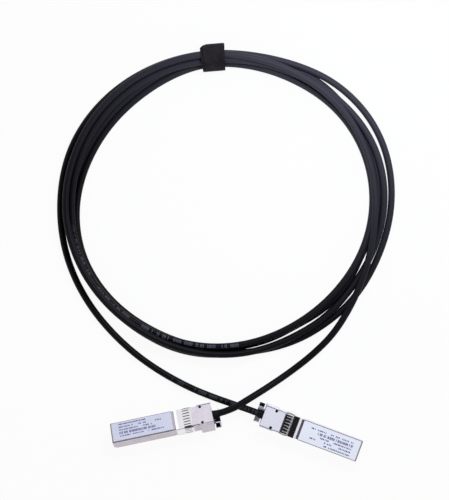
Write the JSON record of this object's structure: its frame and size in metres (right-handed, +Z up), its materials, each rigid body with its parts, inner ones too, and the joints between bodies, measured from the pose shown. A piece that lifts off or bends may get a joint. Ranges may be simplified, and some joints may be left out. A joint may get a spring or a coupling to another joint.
{
  "type": "direct attach copper cable",
  "caption": "Coiled black twinax network cable with a metal pluggable-module connector on each end, sprung shielding collars, pull-to-release latches and a hook-and-loop strap.",
  "frame": {"origin": "on the surface that the cable lies on, below the middle of the two plugs' bounding box", "axes": "+X towards the right plug's side along the plugs' long extent, +Y from the plugs towards the coil, +Z up"},
  "size_m": [0.21, 0.259, 0.0168],
  "materials": {
    "shell": "satin nickel-plated zinc casting",
    "cover": "satin nickel-plated zinc casting",
    "collar": "bright sprung steel sheet",
    "label": "semi-matt printed film",
    "screw": "dark plated",
    "slide": "stamped sheet",
    "latch": "cast, plated",
    "pin": "ground",
    "spring": "sprung strip",
    "card": "solder mask",
    "contact": "gold plated",
    "chip": "moulded",
    "capacitor": "ceramic",
    "wire": "foil over insulation",
    "ferrule": "crimped",
    "boot": "moulded",
    "jacket": "semi-matt extruded jacket",
    "strap": "hook-and-loop tape"
  },
  "bodies": {
    "cable": {"housing_base_a": "shell", "housing_base_b": "shell", "housing_cover_a": "cover", "housing_cover_b": "cover", "emi_collar_a": "collar", "emi_collar_b": "collar", "label_a": "label", "label_b": "label", "cover_screws_a": "screw", "cover_screws_b": "screw", "latch_pin_a": "pin", "latch_pin_b": "pin", "leaf_spring_a": "spring", "leaf_spring_b": "spring", "paddle_card_a": "card", "paddle_card_b": "card", "card_contacts_a": "contact", "card_contacts_b": "contact", "memory_chip_a": "chip", "memory_chip_b": "chip", "capacitors_a": "capacitor", "capacitors_b": "capacitor", "wire_pairs_a": "wire", "wire_pairs_b": "wire", "crimp_ferrule_a": "ferrule", "crimp_ferrule_b": "ferrule", "cable_boot_a": "boot", "cable_boot_b": "boot", "cable_lead_a": "jacket", "cable_lead_b": "jacket", "cable_coil": "jacket", "strap": "strap"},
    "slide_a": {"release_slide_a": "slide"},
    "latch_a": {"latch_arm_a": "latch"},
    "slide_b": {"release_slide_b": "slide"},
    "latch_b": {"latch_arm_b": "latch"}
  },
  "joints": [
    {"name": "release_slide_a", "type": "slide", "parent": "cable", "child": "slide_a", "axis": [0.9789, 0.2045, 0], "range_m": [0, 0.0025], "stiffness_N_per_m": 400, "springref_m": -0.001},
    {"name": "latch_lift_a", "type": "hinge", "parent": "cable", "child": "latch_a", "pos_m": [-0.02383, 0.00712, 0.00769], "axis": [-0.1675, 0.8018, -0.5736], "range_deg": [0, 4.02], "stiffness_Nm_per_rad": 0.02, "springref_deg": -1.15, "deforming": ["leaf_spring_a"]},
    {"name": "release_slide_b", "type": "slide", "parent": "cable", "child": "slide_b", "axis": [-0.9367, 0.3502, 0], "range_m": [0, 0.0025], "stiffness_N_per_m": 400, "springref_m": -0.001},
    {"name": "latch_lift_b", "type": "hinge", "parent": "cable", "child": "latch_b", "pos_m": [0.02553, 0.00687, 0.0046], "axis": [-0.3502, -0.9367, 0], "range_deg": [0, 4.02], "stiffness_Nm_per_rad": 0.02, "springref_deg": -1.15, "deforming": ["leaf_spring_b"]}
  ],
  "couplings": [
    {"joint": "latch_lift_a", "follows": "release_slide_a", "rad_per_m": 27.925},
    {"joint": "latch_lift_b", "follows": "release_slide_b", "rad_per_m": 27.925}
  ]
}
